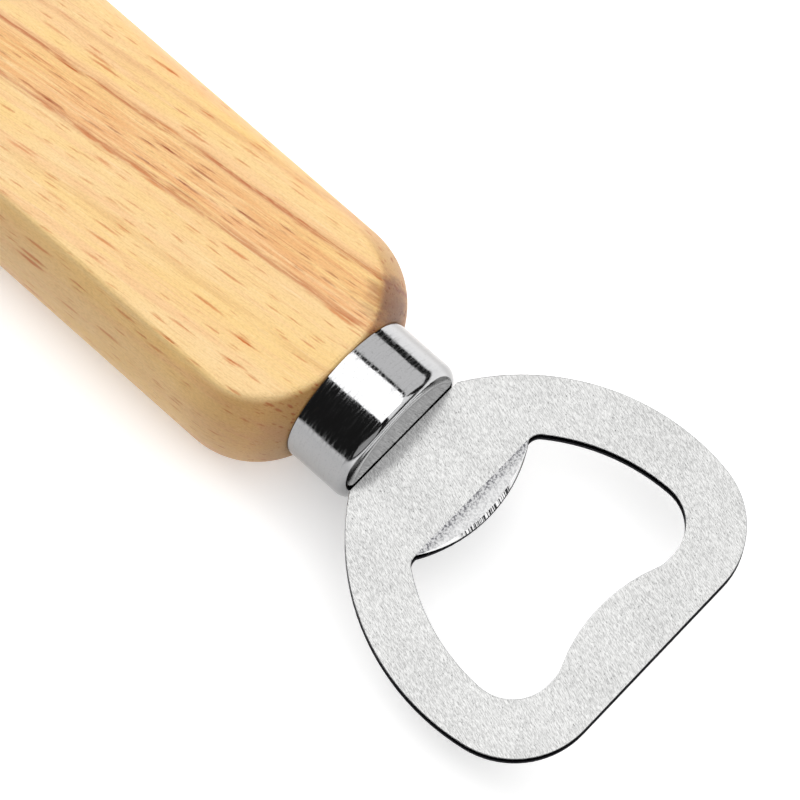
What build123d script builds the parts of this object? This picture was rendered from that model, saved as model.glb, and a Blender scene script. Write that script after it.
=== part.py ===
from build123d import *
import math
import os

# A hand bottle opener: a turned wooden handle with two milled flats, a drawn
# metal ferrule on its nose, and a flat stamped head whose tang is glued in.
#
# +X runs from the butt of the handle to the head, +Z is square to the head's
# plate, and the handle's lower flat lies on Z = 0. All sizes are millimetres.

# Handle
handle_length = 98.85
handle_diameter = 29.2
flat_stand = 0.3  # how far each milled flat stands proud of the ferrule
nose_length = 8.5  # rounding of the front shoulder, along the handle
nose_land = 0.4  # flat ring of wood outside the ferrule's rim
butt_length = 11.0  # rounding of the butt, along the handle
butt_depth = 7.5  # rounding of the butt, towards the axis
flat_edge_round = 0.4

# Ferrule
ferrule_diameter = 18.0
ferrule_length = 8.45
ferrule_wall = 0.8
ferrule_round = 1.6
spigot_clearance = 0.05  # between the wooden spigot and the ferrule, all round
spigot_end_gap = 0.4

# Cap mouth, punched through the head; lengths start at the ferrule's face
mouth_width = 29.7
mouth_widest = 24.7
mouth_side_radius = 23.45
mouth_corner_radius = 5.1
mouth_hinge = 10.05  # root of the lip
mouth_root_round = 1.5
cap_gap = 15.4  # from the lip to the crest of the fulcrum
fulcrum_rise = 1.8
fulcrum_radius = 19.0
fulcrum_blend = 4.0

# Lip, which hooks under the cap's skirt: its upper side is pressed to a bevel
lip_reach = 2.45
lip_shoulder = 0.9  # from the end of the lip to the side of the mouth
lip_bevel_angle = 14.0
lip_rim_width = 0.35  # steep rim of the bevel, at the lip's tip
lip_rim_depth = 0.6
lip_rim_radius = 23.0

# Plate round the mouth
plate_thickness = 1.7
side_rim = 6.15  # plate left at each side of the mouth
far_rim = 6.0  # plate left beyond the mouth's far corners
head_widest = 22.9
head_side_radius = 26.9
head_corner_radius = 9.8
neck_gap = 0.12  # between the head's shoulders and the ferrule's face
neck_round = 0.8

# Tang, glued into a bore in the wood
tang_width = 8.0
tang_depth = 26.0  # of tang inside the handle's body
tang_point = 2.0
slot_clearance = 0.15
bore_clearance = 0.4  # round the corners of the tang
bore_end_gap = 3.0

# Sizes that follow
cap_far = mouth_hinge + lip_reach + cap_gap
mouth_far = cap_far + fulcrum_rise
head_length = mouth_far + far_rim
head_width = mouth_width + 2 * side_rim
handle_thickness = ferrule_diameter + 2 * flat_stand
total_length = handle_length + ferrule_length + head_length
handle_radius = handle_diameter / 2
ferrule_radius = ferrule_diameter / 2
spigot_radius = ferrule_radius - ferrule_wall - spigot_clearance
nose_radius = ferrule_radius + nose_land
bore_radius = math.hypot(tang_width, plate_thickness) / 2 + bore_clearance

# Places along X, and heights
face_x = total_length / 2 - head_length
joint_x = face_x - ferrule_length
butt_x = joint_x - handle_length
spigot_x = face_x - ferrule_wall - spigot_end_gap
bore_x = joint_x - tang_depth - bore_end_gap
axis_z = handle_thickness / 2
plate_top = axis_z + plate_thickness / 2
plate_bottom = axis_z - plate_thickness / 2

# The long section holds the axis, and the plan lies on the plate's underside
long_section = Plane(origin=(0, 0, axis_z), x_dir=(1, 0, 0), z_dir=(0, -1, 0))
plate_plan = Plane(origin=(face_x, 0, plate_bottom))
from_left = (Align.MIN, Align.CENTER)


def cross_section(x):
    """A plane square to the axis at x, which looks along +X."""
    return Plane(origin=(x, 0, axis_z), x_dir=(0, 1, 0), z_dir=(1, 0, 0))


# Handle: turned between centres, milled flat on two sides, and drilled
with BuildPart() as handle:
    with BuildSketch(long_section):
        with BuildLine():
            Line((butt_x, 0), (butt_x, handle_radius - butt_depth))
            EllipticalCenterArc(
                (butt_x + butt_length, handle_radius - butt_depth),
                butt_length,
                butt_depth,
                start_angle=90,
                arc_size=90,
            )
            Line(
                (butt_x + butt_length, handle_radius),
                (joint_x - nose_length, handle_radius),
            )
            TangentArc(
                (joint_x - nose_length, handle_radius),
                (joint_x, nose_radius),
                tangent=(1, 0),
            )
            Polyline(
                (joint_x, nose_radius),
                (joint_x, spigot_radius),
                (spigot_x, spigot_radius),
                (spigot_x, 0),
                (butt_x, 0),
            )
        make_face()
    revolve(axis=Axis((0, 0, axis_z), (1, 0, 0)))
    spigot_rim = handle.edges().filter_by(GeomType.CIRCLE).group_by(Axis.X)[-1]
    chamfer(spigot_rim, ferrule_round - ferrule_wall)
    with Locations((0, 0, axis_z)):
        Box(total_length, handle_diameter, handle_thickness, mode=Mode.INTERSECT)
    flats = handle.faces().filter_by(Axis.Z)
    fillet(flats.edges().filter_by(GeomType.LINE), flat_edge_round)
    with BuildSketch(cross_section(bore_x)):
        Circle(bore_radius)
    extrude(amount=spigot_x - bore_x, mode=Mode.SUBTRACT)
handle.part.label = "handle"

# Ferrule: a drawn cup, open towards the wood, with a slot for the tang
with BuildPart() as ferrule:
    with BuildSketch(cross_section(joint_x)):
        Circle(ferrule_radius)
    extrude(amount=ferrule_length)
    cup_rim = ferrule.edges().filter_by(GeomType.CIRCLE).sort_by(Axis.X)[-1]
    fillet(cup_rim, ferrule_round)
    rear_face = ferrule.faces().sort_by(Axis.X)[0]
    offset(amount=-ferrule_wall, openings=rear_face, kind=Kind.ARC)
    with BuildSketch(cross_section(joint_x)):
        Rectangle(
            tang_width + 2 * slot_clearance,
            plate_thickness + 2 * slot_clearance,
        )
    extrude(amount=ferrule_length, mode=Mode.SUBTRACT)
ferrule.part.label = "ferrule"

# Each side of the head, and of its mouth, is one arc: two circles that cross
# leave the shape between them, this far off the middle line
head_side_offset = head_side_radius - head_width / 2
mouth_side_offset = mouth_side_radius - mouth_width / 2

# The lip runs across the root of the mouth, as one arc from end to end
root_run = mouth_widest - mouth_hinge
root_half_width = math.sqrt(mouth_side_radius**2 - root_run**2) - mouth_side_offset
lip_half_width = root_half_width - lip_shoulder
lip_radius = (lip_half_width**2 + lip_reach**2) / (2 * lip_reach)

# Its bevel falls from a straight crease, and steepens to a narrow rim that is
# widest at the tip, because its radius is larger than the lip's
crease_x = face_x + mouth_hinge
tip_x = crease_x + lip_reach
bevel_slope = math.tan(math.radians(lip_bevel_angle))
rim_slope = lip_rim_depth / lip_rim_width
rim_drop = (lip_reach - lip_rim_width) * bevel_slope + lip_rim_depth

# Lip: one arc from end to end, with its upper side pressed down
with BuildPart() as lip:
    with BuildSketch(plate_plan):
        with Locations((mouth_hinge + lip_reach - lip_radius, 0)):
            Circle(lip_radius)
        with Locations((mouth_hinge - lip_reach, 0)):
            Rectangle(
                2 * lip_reach,
                2 * lip_half_width,
                align=from_left,
                mode=Mode.INTERSECT,
            )
    extrude(amount=plate_thickness)
    with BuildSketch(Plane.XZ):
        with BuildLine():
            Polyline(
                (crease_x, plate_top),
                (tip_x, plate_top),
                (tip_x, plate_top - lip_reach * bevel_slope),
                close=True,
            )
        make_face()
    extrude(amount=lip_half_width, both=True, mode=Mode.SUBTRACT)
    with BuildSketch(Plane.XZ):
        with BuildLine():
            Polyline(
                (tip_x - rim_drop / rim_slope, plate_top),
                (tip_x, plate_top),
                (tip_x, plate_top - rim_drop),
                close=True,
            )
        make_face()
    revolve(
        axis=Axis((tip_x - lip_rim_width - lip_rim_radius, 0, 0), (0, 0, 1)),
        mode=Mode.SUBTRACT,
    )

# Opener head: one stamping, with the cap mouth, the fulcrum, the lip and tang
with BuildPart() as opener_head:
    with BuildSketch(plate_plan) as blank:
        with Locations((head_widest, head_side_offset)):
            Circle(head_side_radius)
        with Locations((head_widest, -head_side_offset)):
            Circle(head_side_radius, mode=Mode.INTERSECT)
        with Locations((neck_gap, 0)):
            Rectangle(
                head_length - neck_gap,
                head_width,
                align=from_left,
                mode=Mode.INTERSECT,
            )
        fillet(blank.vertices().group_by(Axis.X)[-1], head_corner_radius)
        fillet(blank.vertices().group_by(Axis.X)[0], neck_round)
    extrude(amount=plate_thickness)

    with BuildSketch(plate_plan) as mouth:
        with Locations((mouth_widest, mouth_side_offset)):
            Circle(mouth_side_radius)
        with Locations((mouth_widest, -mouth_side_offset)):
            Circle(mouth_side_radius, mode=Mode.INTERSECT)
        with Locations((mouth_hinge, 0)):
            Rectangle(
                mouth_far - mouth_hinge,
                mouth_width,
                align=from_left,
                mode=Mode.INTERSECT,
            )
        fillet(mouth.vertices().group_by(Axis.X)[-1], mouth_corner_radius)
        fillet(mouth.vertices().group_by(Axis.X)[0], mouth_root_round)
        with Locations((cap_far + fulcrum_radius, 0)):
            Circle(fulcrum_radius, mode=Mode.SUBTRACT)
        crest_ends = mouth.vertices().group_by(Axis.X)[-1].sort_by(Axis.Y)[1:3]
        fillet(crest_ends, fulcrum_blend)
    extrude(amount=plate_thickness, mode=Mode.SUBTRACT)

    add(lip.part)

    with BuildSketch(plate_plan):
        with Locations((-ferrule_length - tang_depth, 0)):
            Rectangle(
                tang_depth + ferrule_length + mouth_hinge / 2,
                tang_width,
                align=from_left,
            )
    extrude(amount=plate_thickness)
    tang_corners = opener_head.edges().filter_by(Axis.Z).group_by(Axis.X)[0]
    chamfer(tang_corners, tang_point)
opener_head.part.label = "opener_head"

# Adhesive: fills the bore round the tang, up to the end of the spigot
with BuildPart() as tang_adhesive:
    with BuildSketch(cross_section(bore_x)):
        Circle(bore_radius)
    extrude(amount=spigot_x - bore_x)
    add(opener_head.part, mode=Mode.SUBTRACT)
tang_adhesive.part.label = "tang_adhesive"

os.makedirs("parts", exist_ok=True)
for piece in (handle, ferrule, opener_head, tang_adhesive):
    export_step(piece.part, f"parts/{piece.part.label}.step")
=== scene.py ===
import bpy
import bmesh
import math
from mathutils import Matrix, Vector


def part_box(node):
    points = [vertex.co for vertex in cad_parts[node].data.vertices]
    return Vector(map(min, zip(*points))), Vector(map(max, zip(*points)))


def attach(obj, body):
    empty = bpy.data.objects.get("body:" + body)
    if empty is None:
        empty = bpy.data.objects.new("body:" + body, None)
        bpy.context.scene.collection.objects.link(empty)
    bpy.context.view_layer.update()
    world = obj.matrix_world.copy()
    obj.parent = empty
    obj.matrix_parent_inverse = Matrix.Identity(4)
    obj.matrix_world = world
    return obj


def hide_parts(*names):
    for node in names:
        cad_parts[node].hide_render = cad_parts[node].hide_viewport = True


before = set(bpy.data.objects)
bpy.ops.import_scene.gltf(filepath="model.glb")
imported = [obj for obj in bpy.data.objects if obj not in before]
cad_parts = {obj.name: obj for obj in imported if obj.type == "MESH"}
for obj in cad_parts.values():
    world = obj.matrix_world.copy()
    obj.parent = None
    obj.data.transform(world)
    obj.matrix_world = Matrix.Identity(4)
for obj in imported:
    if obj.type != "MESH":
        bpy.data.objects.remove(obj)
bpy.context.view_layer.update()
mm = 0.001
nearly = 0.01 * mm  # two places this close count as the same
upward = Vector((0, 0, 1))


# Selecting and editing, as by hand

def clearSelection():
    if bpy.context.mode != "OBJECT":
        bpy.ops.object.mode_set(mode="OBJECT")
    bpy.ops.object.select_all(action="DESELECT")


def startEdit(piece):
    clearSelection()
    piece.select_set(True)
    bpy.context.view_layer.objects.active = piece
    bpy.ops.object.mode_set(mode="EDIT")


def pick(piece, kind, test):  # in edit mode, selects only what passes the test
    bpy.ops.mesh.select_mode(type=kind)
    bpy.ops.mesh.select_all(action="DESELECT")
    mesh = bmesh.from_edit_mesh(piece.data)
    groups = {"VERT": mesh.verts, "EDGE": mesh.edges, "FACE": mesh.faces}
    for item in groups[kind]:
        if test(item):
            item.select_set(True)
    mesh.select_flush_mode()
    bmesh.update_edit_mesh(piece.data)


def pushOut(shift, ratio, centre):  # extrudes the selected end along X, then scales it
    bpy.ops.mesh.extrude_region_move(TRANSFORM_OT_translate={"value": (shift, 0, 0)})
    if ratio != 1:
        bpy.ops.transform.resize(value=(1, ratio, ratio), center_override=centre)


def finishEdit(piece):
    bpy.ops.object.mode_set(mode="OBJECT")
    clearSelection()
    piece.select_set(True)
    bpy.context.view_layer.objects.active = piece


def applyModifier(piece, kind, settings):
    modifier = piece.modifiers.new(kind.title(), kind)
    for name, value in settings.items():
        setattr(modifier, name, value)
    bpy.context.view_layer.objects.active = piece
    bpy.ops.object.modifier_apply(modifier=modifier.name)


def addRound(name, radius, startX, endX, axisZ, sides):  # a round bar along X
    clearSelection()
    bpy.ops.mesh.primitive_cylinder_add(
        vertices=sides,
        radius=radius,
        depth=endX - startX,
        location=((startX + endX) / 2, 0, axisZ),
        rotation=(0, math.pi / 2, 0),
    )
    piece = bpy.context.active_object
    piece.name = name
    bpy.ops.object.transform_apply(location=True, rotation=True, scale=True)
    return piece


def cutBox(piece, low, high):  # cuts a box out of the piece
    clearSelection()
    middle = [(a + b) / 2 for a, b in zip(low, high)]
    bpy.ops.mesh.primitive_cube_add(size=1, location=middle)
    cutter = bpy.context.active_object
    cutter.scale = [b - a for a, b in zip(low, high)]
    bpy.ops.object.transform_apply(location=True, rotation=True, scale=True)
    applyModifier(piece, "BOOLEAN", {
        "operation": "DIFFERENCE",
        "solver": "EXACT",
        "object": cutter,
    })
    bpy.data.objects.remove(cutter)
    clearSelection()
    piece.select_set(True)
    bpy.context.view_layer.objects.active = piece


def atX(face, x):  # whether a face lies square to X, at x
    return abs(face.calc_center_median().x - x) < nearly and abs(face.normal.x) > 0.99


def turnedMiddle(low, high):  # height of the axis that a piece was turned about
    return (low.z + high.z) / 2


# Shader maths in plain expressions

class Wire:  # one output of a node
    def __init__(self, graph, socket):
        self.graph = graph
        self.socket = socket

    def math(self, operation, first, second):
        return self.graph.add("ShaderNodeMath", {"operation": operation}, {0: first, 1: second})

    def __add__(self, other):
        return self.math("ADD", self, other)

    def __radd__(self, other):
        return self.math("ADD", other, self)

    def __sub__(self, other):
        return self.math("SUBTRACT", self, other)

    def __rsub__(self, other):
        return self.math("SUBTRACT", other, self)

    def __mul__(self, other):
        return self.math("MULTIPLY", self, other)

    def __rmul__(self, other):
        return self.math("MULTIPLY", other, self)

    def __truediv__(self, other):
        return self.math("DIVIDE", self, other)


class Graph:  # one material and its nodes
    def __init__(self, name):
        self.material = bpy.data.materials.new(name)
        self.material.use_nodes = True
        self.tree = self.material.node_tree
        self.shader = self.tree.nodes["Principled BSDF"]

    def add(self, kind, settings=None, inputs=None, output=0):
        node = self.tree.nodes.new(kind)
        for name, value in (settings or {}).items():
            setattr(node, name, value)
        for name, value in (inputs or {}).items():
            self.plug(node.inputs[name], value)
        return Wire(self, node.outputs[output])

    def plug(self, socket, value):
        if isinstance(value, Wire):
            self.tree.links.new(value.socket, socket)
        else:
            socket.default_value = value

    def place(self, turn=(0, 0, 0), shift=(0, 0, 0)):  # the piece's own coordinates, in millimetres
        own = self.add("ShaderNodeTexCoord", output="Object")
        moved = self.add("ShaderNodeVectorMath", {"operation": "SUBTRACT"}, {0: own, 1: shift})
        inputs = {0: moved, "Scale": 1 / mm}
        large = self.add("ShaderNodeVectorMath", {"operation": "SCALE"}, inputs)
        angles = [math.radians(a) for a in turn]
        return self.add("ShaderNodeMapping", inputs={"Vector": large, "Rotation": angles})

    def stretch(self, vector, sizes):  # divides each direction by a mark's size along it
        factors = [1 / size for size in sizes]
        return self.add("ShaderNodeVectorMath", {"operation": "MULTIPLY"}, {0: vector, 1: factors})

    def parts(self, vector):
        node = self.tree.nodes.new("ShaderNodeSeparateXYZ")
        self.plug(node.inputs[0], vector)
        return [Wire(self, socket) for socket in node.outputs]

    def joined(self, x, y, z):
        return self.add("ShaderNodeCombineXYZ", inputs={0: x, 1: y, 2: z})

    def noise(self, vector, sizes, detail=2, roughness=0.5):
        return self.add("ShaderNodeTexNoise", inputs={
            "Vector": self.stretch(vector, sizes),
            "Scale": 1,
            "Detail": detail,
            "Roughness": roughness,
            "Distortion": 0,
        })

    def cells(self, vector, sizes, output):
        return self.add("ShaderNodeTexVoronoi", inputs={
            "Vector": self.stretch(vector, sizes),
            "Scale": 1,
            "Randomness": 1,
        }, output=output)

    def absolute(self, value):
        return self.add("ShaderNodeMath", {"operation": "ABSOLUTE"}, {0: value})

    def length(self, vector):
        return self.add("ShaderNodeVectorMath", {"operation": "LENGTH"}, {0: vector}, output=1)

    def fade(self, value, start, end, low=0, high=1):  # a soft step
        return self.add("ShaderNodeMapRange", {"interpolation_type": "SMOOTHSTEP"}, {
            "Value": value,
            "From Min": start,
            "From Max": end,
            "To Min": low,
            "To Max": high,
        })

    def mix(self, factor, first, second, blend="MIX"):  # colours are inputs 6 and 7, output 2
        settings = {"data_type": "RGBA", "blend_type": blend}
        return self.add("ShaderNodeMix", settings, {0: factor, 6: first, 7: second}, output=2)

    def multiply(self, factor, first, second):
        return self.mix(factor, first, second, blend="MULTIPLY")

    def bump(self, height, distance, normal=None):
        inputs = {"Height": height, "Distance": distance * mm, "Strength": 1}
        if normal is not None:
            inputs["Normal"] = normal
        return self.add("ShaderNodeBump", inputs=inputs)

    def finish(self, settings):
        for name, value in settings.items():
            self.plug(self.shader.inputs[name], value)
        return self.material


def triangles(piece):
    return sum(len(face.vertices) - 2 for face in piece.data.polygons)


def tint(code):  # a colour from its hex code
    channels = [int(code[i:i + 2], 16) / 255 for i in (0, 2, 4)]
    return (*[c / 12.92 if c < 0.04045 else ((c + 0.055) / 1.055) ** 2.4 for c in channels], 1)


# Wooden handle

handleShape = {
    "sides": 160,
    "buttLength": 11.0 * mm,
    "buttDepth": 7.5 * mm,
    "noseLength": 8.5 * mm,
    "noseLand": 0.4 * mm,  # ring of wood outside the ferrule
    "spigotRadius": 8.15 * mm,
    "spigotChamfer": 0.8 * mm,
    "boreRadius": 4.49 * mm,
    "endSteps": 14,
    "cutTolerance": 0.001 * mm,
    "voxel": 0.36 * mm,
    "sandedWidth": 2.4 * mm,  # how far the softly sanded edges reach
    "sandedPasses": 50,
    "allPasses": 1,
    "crispAngle": 8,  # an edge of the flats that turns more than this stays crisp, degrees
}


def turnEnd(profile, axisZ):  # extrudes the selected end through each place and radius in turn
    for (place, radius), (nextPlace, nextRadius) in zip(profile, profile[1:]):
        pushOut(nextPlace - place, nextRadius / radius, (nextPlace, 0, axisZ))


def buttProfile(x, radius):  # a quarter of an ellipse
    s = handleShape
    angles = [math.pi / 2 * step / s["endSteps"] for step in range(s["endSteps"] + 1)]
    return [
        (x - s["buttLength"] * math.sin(a), radius - s["buttDepth"] * (1 - math.cos(a)))
        for a in angles
    ]


def noseProfile(x, radius, endRadius):  # one arc, smooth at the bar and a corner at the ferrule
    s = handleShape
    drop = radius - endRadius
    arc = (s["noseLength"] ** 2 + drop**2) / (2 * drop)
    sweep = math.asin(s["noseLength"] / arc)
    angles = [sweep * step / s["endSteps"] for step in range(s["endSteps"] + 1)]
    return [(x + arc * math.sin(a), radius - arc * (1 - math.cos(a))) for a in angles]


def makeHandle():
    s = handleShape
    low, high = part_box("handle")
    ferruleLow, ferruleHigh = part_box("ferrule")
    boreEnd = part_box("tang_adhesive")[0].x
    radius = high.y
    axisZ = turnedMiddle(low, high)
    jointX = ferruleLow.x
    buttEnd = low.x + s["buttLength"]
    noseStart = jointX - s["noseLength"]
    noseRadius = ferruleHigh.y + s["noseLand"]
    piece = addRound("woodHandle", radius, buttEnd, noseStart, axisZ, s["sides"])
    startEdit(piece)
    pick(piece, "FACE", lambda f: atX(f, buttEnd))
    turnEnd(buttProfile(buttEnd, radius), axisZ)
    pick(piece, "FACE", lambda f: atX(f, noseStart))
    turnEnd(noseProfile(noseStart, radius, noseRadius), axisZ)
    pushOut(0, s["spigotRadius"] / noseRadius, (jointX, 0, axisZ))
    pushOut(high.x - jointX - s["spigotChamfer"], 1, None)
    tipRadius = s["spigotRadius"] - s["spigotChamfer"]
    pushOut(s["spigotChamfer"], tipRadius / s["spigotRadius"], (high.x, 0, axisZ))
    pushOut(0, s["boreRadius"] / tipRadius, (high.x, 0, axisZ))
    pushOut(boreEnd - high.x, 1, None)
    for height, side in ((high.z, 1), (low.z, -1)):
        bpy.ops.mesh.select_all(action="SELECT")
        bpy.ops.mesh.bisect(
            plane_co=(0, 0, height),
            plane_no=(0, 0, side),
            use_fill=True,
            clear_outer=True,
            threshold=s["cutTolerance"],
        )
    finishEdit(piece)
    applyModifier(piece, "REMESH", {"mode": "VOXEL", "voxel_size": s["voxel"]})
    sandEdges(piece, low, high, noseStart)
    bpy.ops.object.shade_smooth_by_angle(angle=math.radians(s["crispAngle"]))
    return piece


def sandEdges(piece, low, high, noseStart):  # softens the flats' edges on the +Y side
    s = handleShape
    radius = high.y
    axisZ = turnedMiddle(low, high)
    flatEdge = math.sqrt(radius**2 - (high.z - axisZ) ** 2)
    sanded = piece.vertex_groups.new(name="sanded")
    for vertex in piece.data.vertices:
        y, z = vertex.co.y, abs(vertex.co.z - axisZ) + axisZ
        reach = math.hypot(y - flatEdge, z - high.z) / s["sandedWidth"]
        ahead = (vertex.co.x - noseStart) / s["noseLength"]
        weight = min(1, 2 - 2 * reach) * min(1, 1 - ahead)
        if weight > 0:
            sanded.add([vertex.index], weight, "REPLACE")
    for passes in (
        {"iterations": s["sandedPasses"], "vertex_group": "sanded"},
        {"iterations": s["allPasses"]},
    ):
        applyModifier(piece, "SMOOTH", {"factor": 0.5, **passes})
    piece.vertex_groups.clear()
    for vertex in piece.data.vertices:  # the flats stay flat
        vertex.co.x = min(max(vertex.co.x, low.x), high.x)
        vertex.co.z = min(max(vertex.co.z, low.z), high.z)


woodLook = {
    "grainTurn": -6.5,  # degrees, from the handle's axis to the grain
    "pale": tint("eac78f"),
    "yellow": tint("eac580"),
    "peach": tint("e7ba85"),
    "tan": tint("dc9c5e"),
    "brown": tint("b45f28"),
    "pore": tint("c66c2c"),
    "corePore": tint("9a4a24"),
    "darkPatch": tint("8a5426"),
    "glint": (1, 0.95, 0.8, 1),  # on the palest fibres
    "speckTint": (0.88, 0.86, 0.82, 1),
    # painted shade on the sides below the upper flat
    "sideShadeTint": (1.0, 0.85, 0.6, 1),
    "endTint": (0.66, 0.56, 0.44, 1),  # end grain on the nose, darkened further by painted shade
    "ferruleShadeTint": (0.78, 0.78, 0.78, 1),  # painted shade beside the ferrule
    "coreLow": 0.8,  # the brown band's two sides, across the grain, mm
    "coreHigh": 6.2,
    "farLow": -5.6,  # two fainter lines, outside the band
    "farHigh": 10.2,
    "ringSlope": 0.35,  # how far the growth rings lean
    "darkPatchPlace": (25.6, 8.2, 15.2),  # dark corner of the nose, mm
    "darkPatchSize": (3.2, 3.4, 5.5),
    "sideStart": 0.15,  # how far below the upper flat the sides' painted shade starts and is full
    "sideFull": 0.9,
    "endReach": (14, 26.5),  # where the end grain and its painted shade start and are full, along the handle
    "ferruleShadeReach": (24.5, 27.2),
    "relief": 0.03,
}

woodGrain = {  # size of each texture's marks along, across and through the plank, mm
    "wander": (45, 14, 14),  # slow bends of the grain
    "waver": (9, 2.5, 2.5),
    "cloud": (30, 6, 6),
    "streak": (60, 1.5, 4),
    "thread": (11, 0.34, 1),
    "fibre": (4, 0.13, 0.25),
    "speck": (0.4, 0.16, 0.2),
    "broken": (5, 0.8, 2),  # gaps in the dark lines
    "jag": (0.7, 0.25, 0.25),  # ragged outlines of the pores
    "largePore": (6.4, 0.5, 1.0),
    "smallPore": (3.0, 0.3, 0.6),
}


def nearLine(g, value, centre, width):  # 1 on a line, fading to 0 at its sides
    return g.fade(g.absolute(value - centre), width, 0)


def pores(g, grain, sizes, share, width):  # short dashes along the grain
    distance = g.cells(grain, sizes, "Distance")
    chance, depth = g.parts(g.cells(grain, sizes, "Color"))[:2]
    size = width * (0.45 + depth * 0.75)
    inside = g.fade(distance, size, size * 0.3)
    chosen = g.fade(chance, 1 - share, 1.05 - share)
    return inside * chosen * (0.35 + depth * 0.65)


def makeWood():
    g = Graph("oiledWood")
    look = woodLook
    sizes = woodGrain
    low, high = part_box("handle")
    flat = high.z / mm
    grain = g.place(turn=(0, 0, look["grainTurn"]))
    x, y, z = g.parts(g.place())
    along, across, height = g.parts(grain)
    wander = g.noise(grain, sizes["wander"]) - 0.5
    waver = g.noise(grain, sizes["waver"]) - 0.5
    depth = (flat - height) * look["ringSlope"]
    ring = across - depth + wander * 1.6 + waver * 0.5
    rings = g.joined(along, ring, height)

    cloud = g.noise(grain, sizes["cloud"])
    streak = g.noise(rings, sizes["streak"], detail=3, roughness=0.6)
    thread = g.noise(rings, sizes["thread"], detail=3, roughness=0.65)
    fibre = g.noise(rings, sizes["fibre"], roughness=0.65)
    speck = g.noise(grain, sizes["speck"], roughness=0.7)
    broken = g.noise(rings, sizes["broken"], detail=3, roughness=0.7)

    coreLow, coreHigh = look["coreLow"], look["coreHigh"]
    inCore = g.fade(ring, coreLow - 0.5, coreLow + 0.9)
    inCore = inCore * g.fade(ring, coreHigh + 0.4, coreHigh - 1.6)
    edgeLines = nearLine(g, ring, coreHigh, 0.6) + nearLine(g, ring, coreLow, 0.8) * 0.75
    farLow = nearLine(g, ring, look["farLow"], 0.9) * 0.25
    farHigh = nearLine(g, ring, look["farHigh"], 0.7) * 0.3
    unbroken = g.fade(broken, 0.24, 0.52)
    lines = (edgeLines + (farLow + farHigh)) * unbroken * g.fade(thread, 0.36, 0.58, 0.3, 1)

    colour = g.mix(g.fade(cloud, 0.35, 0.65), look["pale"], look["yellow"])
    colour = g.mix(g.fade(streak, 0.47, 0.68) * 0.8, colour, look["peach"])
    colour = g.mix(inCore * g.fade(thread, 0.3, 0.62) * 0.75, colour, look["tan"])
    colour = g.mix(lines * 0.95, colour, look["brown"])
    darkFibre = g.fade(fibre, 0.52, 0.78) * (0.3 + inCore * 0.25)
    colour = g.mix(darkFibre, colour, look["brown"])
    paleFibre = g.fade(fibre, 0.46, 0.24) * 0.1
    colour = g.mix(paleFibre, colour, look["glint"], blend="SCREEN")

    jag = g.noise(grain, sizes["jag"], roughness=0.6) - 0.5
    jagged = g.joined(along, ring + jag * 0.16, height)
    crowd = inCore * 0.3 + edgeLines * 0.35
    large = pores(g, jagged, sizes["largePore"], 0.34 + crowd, 0.46)
    small = pores(g, jagged, sizes["smallPore"], 0.36 + crowd, 0.44)
    dashes = large * (0.5 + broken * 0.6) + small * 0.6
    colour = g.mix(dashes, colour, g.mix(inCore, look["pore"], look["corePore"]))

    # a darker brown, streaky patch at the corner of the nose
    corner = g.joined(*[
        (own - middle) / size
        for own, middle, size in zip((x, y, z), look["darkPatchPlace"], look["darkPatchSize"])
    ])
    darkPatch = g.fade(g.length(corner) + (broken - 0.5) * 1.1, 1.1, 0.5)
    colour = g.mix(darkPatch * 0.68, colour, look["darkPatch"])
    # painted shade, a little warmer in hue, on the sides below the upper flat
    inSideShade = g.fade(z, flat - look["sideStart"], flat - look["sideFull"])
    colour = g.multiply(inSideShade * 0.5, colour, look["sideShadeTint"])
    # end grain on the nose, darker still by painted shade
    colour = g.multiply(inSideShade * g.fade(x, *look["endReach"]), colour, look["endTint"])
    # painted shade on the wood beside the ferrule
    colour = g.multiply(inSideShade * g.fade(x, *look["ferruleShadeReach"]), colour, look["ferruleShadeTint"])
    colour = g.multiply(g.fade(speck, 0.35, 0.75), colour, look["speckTint"])

    relief = fibre * 0.35 + speck * 0.3 - dashes * 1.1
    return g.finish({
        "Base Color": colour,
        "Roughness": 0.42 + fibre * 0.12 + dashes * 0.15,
        "Normal": g.bump(relief, look["relief"]),
    })


print("handle")
woodHandle = makeHandle()
woodHandle.data.materials.append(makeWood())
print("handle triangles", triangles(woodHandle))


# Polished ferrule

ferruleShape = {
    "sides": 192,
    "wall": 0.8 * mm,
    "frontRound": 1.6 * mm,
    "rearRound": 0.12 * mm,
    "slotClearance": 0.15 * mm,
    "tangWidth": 8.0 * mm,
    "crispAngle": 30,  # degrees
}


def rimEdge(edge, x, axisZ, radius):  # whether an edge is part of the circle at x
    return all(
        abs(v.co.x - x) < nearly
        and abs(math.hypot(v.co.y, v.co.z - axisZ) - radius) < 2 * nearly
        for v in edge.verts
    )


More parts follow.
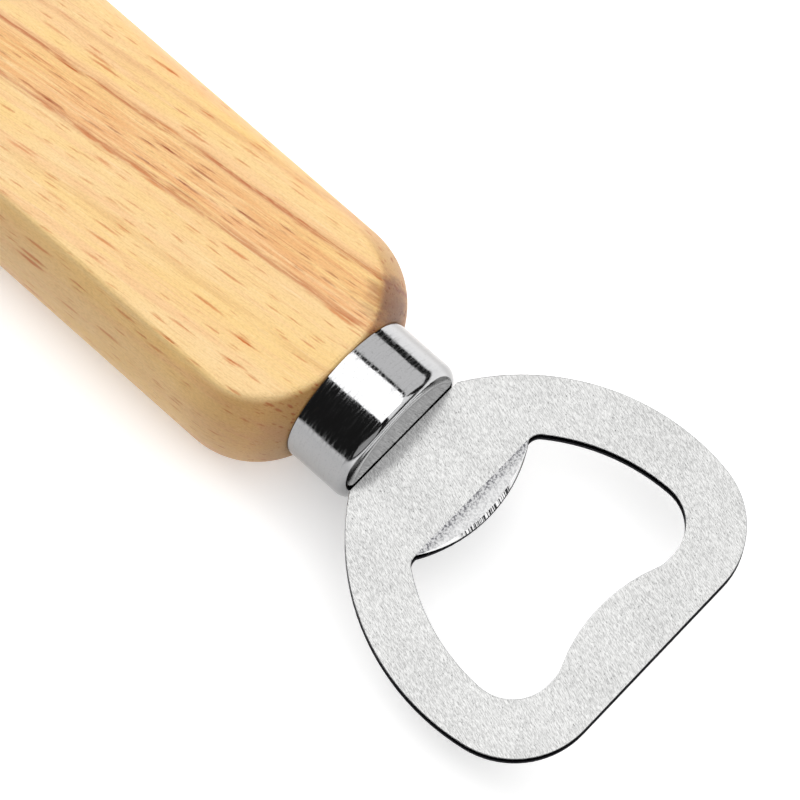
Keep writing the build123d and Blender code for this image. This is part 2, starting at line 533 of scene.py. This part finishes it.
def makeFerrule():
    s = ferruleShape
    low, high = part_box("ferrule")
    plateLow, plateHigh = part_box("opener_head")
    radius = high.y
    inner = radius - s["wall"]
    axisZ = turnedMiddle(plateLow, plateHigh)
    piece = addRound("ferruleCup", radius, low.x, high.x, axisZ, s["sides"])
    startEdit(piece)
    pick(piece, "FACE", lambda f: atX(f, low.x))
    pushOut(0, inner / radius, (low.x, 0, axisZ))
    floorX = high.x - s["wall"]
    pushOut(floorX - low.x, 1, None)
    for x, size, rim, steps in (
        (high.x, s["frontRound"], radius, 14),
        (floorX, s["frontRound"] - s["wall"], inner, 6),
        (low.x, s["rearRound"], radius, 3),
    ):
        pick(piece, "EDGE", lambda e: rimEdge(e, x, axisZ, rim))
        bpy.ops.mesh.bevel(offset=size, segments=steps, affect="EDGES", clamp_overlap=False)
    finishEdit(piece)
    clearance = s["slotClearance"]
    halfWidth = s["tangWidth"] / 2 + clearance
    reach = 3 * s["wall"]  # past both faces of the cup's floor
    slotLow = (high.x - reach, -halfWidth, plateLow.z - clearance)
    slotHigh = (high.x + reach, halfWidth, plateHigh.z + clearance)
    cutBox(piece, slotLow, slotHigh)
    bpy.ops.object.shade_smooth_by_angle(angle=math.radians(s["crispAngle"]))
    applyModifier(piece, "WEIGHTED_NORMAL", {"keep_sharp": True})
    return piece


chromeLook = {
    "bright": tint("bcbcbd"),
    "dull": tint("9c9c9c"),
    "sideShadeTint": (0.62, 0.62, 0.62, 1),  # painted shade in the reflections at the two sides
    "endTint": (0.42, 0.42, 0.43, 1),  # darker again on the flat end
    "sideReach": (0.74, 0.86),  # where the sides' painted shade starts and is full, in radii
    "endReach": (0.06, 0.01),  # the same for the end, in mm behind its face
    "turning": (0.2, 3.0, 1),  # fine lines round the cup, mm along and round it
    "turningRelief": 0.0045,
    "ripple": (3.2, 1.8, 1),
    "rippleRelief": 0.018,
    "speck": (0.22, 0.22, 0.22),
}


def makeChrome():
    g = Graph("polishedSteel")
    look = chromeLook
    low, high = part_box("ferrule")
    radius = high.y / mm
    front = high.x / mm
    x, y, z = g.parts(g.place(shift=(0, 0, turnedMiddle(low, high))))
    angle = g.add("ShaderNodeMath", {"operation": "ARCTAN2"}, {0: z, 1: y})
    wrapped = g.joined(x, angle * radius, 0)
    turning = g.noise(wrapped, look["turning"], detail=3, roughness=0.6)
    ripple = g.noise(wrapped, look["ripple"], detail=1)
    speck = g.noise(g.joined(x, y, z), look["speck"], roughness=0.7)
    marks = g.fade(speck, 0.56, 0.74)
    worn = marks * 0.55 + g.fade(turning, 0.5, 0.8) * 0.3
    colour = g.mix(worn, look["bright"], look["dull"])
    # painted shade in the reflections at the two sides
    sideStart, sideFull = look["sideReach"]
    inSideShade = g.fade(g.absolute(y), radius * sideStart, radius * sideFull)
    colour = g.multiply(inSideShade, colour, look["sideShadeTint"])
    # darker on the flat end of the cup
    endStart, endFull = look["endReach"]
    onEnd = g.fade(x, front - endStart, front - endFull)
    colour = g.multiply(onEnd, colour, look["endTint"])
    normal = g.bump(turning * 0.6 + speck * 0.25, look["turningRelief"])
    return g.finish({
        "Base Color": colour,
        "Metallic": 1.0,
        "Roughness": 0.06 + g.fade(turning, 0.42, 0.66) * 0.14 + marks * 0.05,
        "Normal": g.bump(ripple, look["rippleRelief"], normal=normal),
    })


print("ferrule")
ferruleCup = makeFerrule()
ferruleCup.data.materials.append(makeChrome())
print("ferrule triangles", triangles(ferruleCup))


# Stamped opener head

headShape = {
    "creaseX": 45.85 * mm,
    "neckGap": 0.12 * mm,
    "dieRoll": 0.09 * mm,  # rounding where the punch drew the sheet down
    "burr": 0.06 * mm,
    "seamDepth": 0.35 * mm,  # score over the tang, in line with the gap at the shoulders
    "seamOverlap": 0.02 * mm,
    "weld": 0.0005 * mm,
    "flatAngle": 0.3,  # faces that turn less than this are joined, degrees
    "crispAngle": 30,
}

headSlots = (  # material number, and the upward tilt of its faces, from and to
    (1, -0.25, 0.25),
    (2, 0.95, 0.985),
    (3, 0.48, 0.53),
)


def outlineEdge(edge, side, shoulder):  # a corner between the plate's face and its cut edge
    if len(edge.link_faces) != 2:
        return False
    sheared, flat = sorted(face.normal.z * side for face in edge.link_faces)
    ahead = all(v.co.x > shoulder + nearly for v in edge.verts)
    return ahead and flat > 0.999 and abs(sheared) < 0.1


def makeHead():  # the plate's outline is the solid's own, with its corners worn
    s = headShape
    clearSelection()
    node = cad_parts["opener_head"]
    node.select_set(True)
    bpy.context.view_layer.objects.active = node
    bpy.ops.object.duplicate()
    piece = bpy.context.active_object
    piece.name = "openerPlate"
    piece.parent = None
    for key in list(piece.keys()):
        del piece[key]
    piece.data.materials.clear()
    low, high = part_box("opener_head")
    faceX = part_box("ferrule")[1].x
    shoulder = faceX + s["neckGap"]
    startEdit(piece)
    bpy.ops.mesh.select_all(action="SELECT")
    bpy.ops.mesh.remove_doubles(threshold=s["weld"])
    bpy.ops.mesh.customdata_custom_splitnormals_clear()
    bpy.ops.mesh.select_all(action="SELECT")
    bpy.ops.mesh.dissolve_limited(angle_limit=math.radians(s["flatAngle"]))
    for side, size, steps in ((1, s["dieRoll"], 4), (-1, s["burr"], 2)):
        pick(piece, "EDGE", lambda e: outlineEdge(e, side, shoulder))
        bpy.ops.mesh.bevel(offset=size, segments=steps, affect="EDGES", clamp_overlap=False)
    finishEdit(piece)
    seamLow = (faceX - s["seamOverlap"], low.y, high.z - s["seamDepth"])
    seamHigh = (shoulder - s["seamOverlap"] / 2, high.y, high.z + s["seamDepth"])
    cutBox(piece, seamLow, seamHigh)
    bpy.ops.object.shade_smooth_by_angle(angle=math.radians(s["crispAngle"]))
    applyModifier(piece, "WEIGHTED_NORMAL", {"keep_sharp": True})
    return piece


steelLook = {
    "face": tint("b4b4b3"),
    "faceDark": tint("606060"),
    # near-black cut steel: its own dark edge, darkened further as painted shade
    "sheared": tint("1c1c1f"),
    "torn": tint("4a4a4c"),
    "shadedShearedEdge": (0.12, 0.12, 0.13, 1),  # what the sheared metal returns at a low angle, kept dark as painted shade
    "lip": tint("c8c8c8"),
    "lipDark": tint("626266"),
    # near-white rim, a painted highlight
    "rim": tint("f4f4f4"),
    "score": tint("242427"),
    "brushTurn": 26,  # degrees, from the handle's axis to the brushed lines
    "secondTurn": 12,
    "faceRelief": 0.008,
    "edgeRelief": 0.03,
    "tornReach": (0.75, 0.5),  # where the torn band starts and is full, above the underside
    # how far the painted shade reaches from the crease, mm
    "creaseShadeWidth": 1.3,
    "scoredReach": (4.2, 3.4),  # where the scores stop, to each side of the middle
}

steelGrain = {  # size of each texture's marks, mm
    "brush": (0.5, 0.09, 1),
    "second": (0.85, 0.1, 1),
    "pit": (0.24, 0.15, 1),
    "cloud": (9, 5, 1),
    "shearDrag": (0.12, 0.12, 1.4),
    "grit": (0.1, 0.1, 0.1),
    "lipSpeck": (0.26, 0.26, 1),
    "lipDrag": (0.9, 0.12, 1),
    "score": (3, 0.13, 3),
}


def makeSatin():
    g = Graph("satinSteel")
    look = steelLook
    sizes = steelGrain
    brushed = g.place(turn=(0, 0, look["brushTurn"]))
    crossed = g.place(turn=(0, 0, look["secondTurn"]))
    brush = g.noise(brushed, sizes["brush"], roughness=0.65)
    second = g.noise(crossed, sizes["second"], roughness=0.6)
    speck = g.noise(brushed, sizes["pit"], roughness=0.75)
    cloud = g.noise(brushed, sizes["cloud"], detail=1)
    lines = brush * 0.55 + second * 0.45
    pits = g.fade(speck, 0.6, 0.7)
    shade = g.fade(lines, 0.4, 0.6) * 0.5 + pits * 0.6 + g.fade(cloud, 0.4, 0.7) * 0.06
    relief = lines * 0.8 + speck * 0.3 - pits * 0.3
    return g.finish({
        "Base Color": g.mix(shade, look["face"], look["faceDark"]),
        "Metallic": 1.0,
        "Roughness": 0.165 + lines * 0.07 + pits * 0.1,
        "Normal": g.bump(relief, look["faceRelief"]),
    })


def makeSheared():  # the punch leaves a burnished band above a torn one; the burnished band's near-black colour is partly painted shade
    g = Graph("shadedShearedEdge")
    look = steelLook
    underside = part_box("opener_head")[0].z / mm
    own = g.place()
    z = g.parts(own)[2]
    drag = g.noise(own, steelGrain["shearDrag"], detail=3, roughness=0.6)
    grit = g.noise(own, steelGrain["grit"], roughness=0.7)
    level = z + (drag - 0.5) * 0.5
    tornStart, tornFull = look["tornReach"]
    torn = g.fade(level, underside + tornStart, underside + tornFull)
    colour = g.mix(torn, look["sheared"], look["torn"])
    colour = g.mix(g.fade(drag, 0.5, 0.75) * 0.4, colour, look["torn"])
    return g.finish({
        "Base Color": colour,
        "Metallic": 1.0,
        "Roughness": 0.38 + torn * 0.22,
        "Specular Tint": look["shadedShearedEdge"],
        "Normal": g.bump(drag * 0.7 + torn * grit, look["edgeRelief"]),
    })


def makeCoined():  # pressed steel, with painted shade along the crease
    g = Graph("coinedLip")
    look = steelLook
    own = g.place()
    x = g.parts(own)[0]
    crease = headShape["creaseX"] / mm
    speck = g.noise(own, steelGrain["lipSpeck"], roughness=0.75)
    drag = g.noise(own, steelGrain["lipDrag"], roughness=0.6)
    # painted shade along the crease
    creaseShade = g.fade(x, crease + look["creaseShadeWidth"], crease)
    marks = g.fade(speck, 0.44, 0.6) * (0.3 + creaseShade * 0.5)
    shade = creaseShade * 0.25 + marks + g.fade(drag, 0.5, 0.75) * 0.2
    return g.finish({
        "Base Color": g.mix(shade, look["lip"], look["lipDark"]),
        "Metallic": 1.0,
        "Roughness": 0.42 + speck * 0.15,
        "Normal": g.bump(speck * 0.8 + drag * 0.4, look["edgeRelief"]),
    })


def makeRim():  # scored square to the lip; its near-white colour is a painted highlight
    g = Graph("highlightedLipRim")
    look = steelLook
    y = g.parts(g.place())[1]
    turned = g.place(turn=(0, 0, look["secondTurn"]))
    score = g.noise(turned, steelGrain["score"], detail=0)
    scored = g.fade(score, 0.48, 0.56) * g.fade(g.absolute(y), *look["scoredReach"])
    return g.finish({
        "Base Color": g.mix(scored, look["rim"], look["score"]),
        "Metallic": 1.0,
        "Roughness": 0.3,
        "Normal": g.bump(0 - scored, look["edgeRelief"]),
    })


def paintHead(piece):  # one material for the faces, and one each for edges, lip and rim
    for material in (makeSatin(), makeSheared(), makeCoined(), makeRim()):
        piece.data.materials.append(material)
    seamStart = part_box("ferrule")[1].x
    seamEnd = seamStart + headShape["neckGap"]
    for face in piece.data.polygons:
        for slot, low, high in headSlots:
            if low < face.normal.z < high:
                face.material_index = slot
        # the score over the tang takes the near-black sheared finish, painted shade along the seam
        if seamStart < face.center.x < seamEnd:
            face.material_index = 1


print("head")
openerPlate = makeHead()
paintHead(openerPlate)
print("head triangles", triangles(openerPlate))


# Cured adhesive, inside the handle

adhesiveLook = {
    "amber": tint("b5803c"),
    "amberDark": tint("8f5c26"),
    "bubble": tint("d9b277"),
    "haze": (4, 3, 3),  # size of its marks, mm
    "bubbleGap": (1.1, 1.1, 1.1),
    "relief": 0.05,
}


def makeAdhesive():
    g = Graph("amberAdhesive")
    look = adhesiveLook
    own = g.place()
    haze = g.noise(own, look["haze"], detail=3)
    bubbles = g.fade(g.cells(own, look["bubbleGap"], "Distance"), 0.22, 0.12)
    colour = g.mix(g.fade(haze, 0.35, 0.7), look["amber"], look["amberDark"])
    colour = g.mix(bubbles * 0.5, colour, look["bubble"])
    return g.finish({
        "Base Color": colour,
        "Roughness": 0.28 + haze * 0.15,
        "Normal": g.bump(bubbles, look["relief"]),
    })


print("adhesive")
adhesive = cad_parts["tang_adhesive"]
adhesive.data.materials[0] = makeAdhesive()


# Floor, lights and camera

stageSetup = {
    "floorSize": 6.0,
    "floorColour": tint("e9e9e9"),
    "floorGlow": 0.42,  # the middle of the floor is a light table, so the shadows stay pale
    "glowReach": (170, 520),  # where the glow starts to fade and where it ends, mm
    "world": 0.015,
    "lens": 225,
    "sensor": 36,
    "clip": (0.01, 20),
    "cameraPlace": (0.15144, -0.13444, 0.50819),
    "cameraBack": (0.22373, -0.25887, 0.93964),
    "cameraUp": (-0.64156, 0.68665, 0.34193),
}

panels = {  # centre, width and depth, the point it faces, radiance
    "overheadBox": ((-0.1, 0.07, 0.6), (1.6, 0.53), (-0.1, 0.07, 0), 2.16),
    "sidePanel": ((0.0, 0.783, 0.541), (1.5, 0.71), (0, 0, 0), 0.9),
    "rearPanel": ((-1.1, 0.25, 0.6), (0.8, 1.0), (0, 0, 0), 3.2),
    "frontPanel": ((1.1, 0.35, 0.7), (0.8, 0.9), (0, 0, 0), 1.3),
    "lowFrontPanel": ((1.15, -1.0, 0.46), (1.6, 0.7), (0, 0, 0), 0.45),
}


def turnTo(right, up, back):  # the rotation whose own X, Y and Z are these
    return Matrix((right, up, back)).transposed().to_euler()


def addPanel(name, centre, size, aim, radiance):
    light = bpy.data.lights.new(name, "AREA")
    light.shape = "RECTANGLE"
    light.size, light.size_y = size
    light.energy = radiance * math.pi * size[0] * size[1]
    lamp = bpy.data.objects.new(name, light)
    bpy.context.scene.collection.objects.link(lamp)
    lamp.location = centre
    ahead = (Vector(aim) - Vector(centre)).normalized()
    sideways = ahead.cross(upward)
    if sideways.length < 0.01:  # it faces straight down
        sideways = Vector((1, 0, 0))
    sideways.normalize()
    lamp.rotation_euler = turnTo(sideways, sideways.cross(ahead), -ahead)


def makeFloor():
    s = stageSetup
    clearSelection()
    bpy.ops.mesh.primitive_plane_add(size=s["floorSize"], location=(0, 0, 0))
    floor = bpy.context.active_object
    floor.name = "paleFloor"
    g = Graph("paleFloor")
    reach = g.length(g.place())
    glow = g.mix(g.fade(reach, *s["glowReach"]), (1, 1, 1, 1), (0, 0, 0, 1))
    floor.data.materials.append(g.finish({
        "Base Color": s["floorColour"],
        "Roughness": 0.9,
        "Specular IOR Level": 0.1,
        "Emission Color": glow,
        "Emission Strength": s["floorGlow"],
    }))


def makeWorld():
    world = bpy.data.worlds.new("studio")
    bpy.context.scene.world = world
    world.use_nodes = True
    background = world.node_tree.nodes["Background"]
    background.inputs["Color"].default_value = (1, 1, 1, 1)
    background.inputs["Strength"].default_value = stageSetup["world"]


def makeCamera():
    s = stageSetup
    camera = bpy.data.objects.new("camera", bpy.data.cameras.new("camera"))
    bpy.context.scene.collection.objects.link(camera)
    camera.data.lens = s["lens"]
    camera.data.sensor_width = s["sensor"]
    camera.data.clip_start, camera.data.clip_end = s["clip"]
    camera.location = s["cameraPlace"]
    back = Vector(s["cameraBack"]).normalized()
    right = Vector(s["cameraUp"]).cross(back).normalized()
    camera.rotation_euler = turnTo(right, back.cross(right), back)
    bpy.context.scene.camera = camera


print("stage")
makeFloor()
makeWorld()
for name, (centre, size, aim, radiance) in panels.items():
    addPanel(name, centre, size, aim, radiance)
makeCamera()
bpy.context.scene.view_settings.view_transform = "Standard"

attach(woodHandle, "root")
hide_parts("handle")
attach(ferruleCup, "root")
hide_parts("ferrule")
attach(openerPlate, "root")
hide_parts("opener_head")
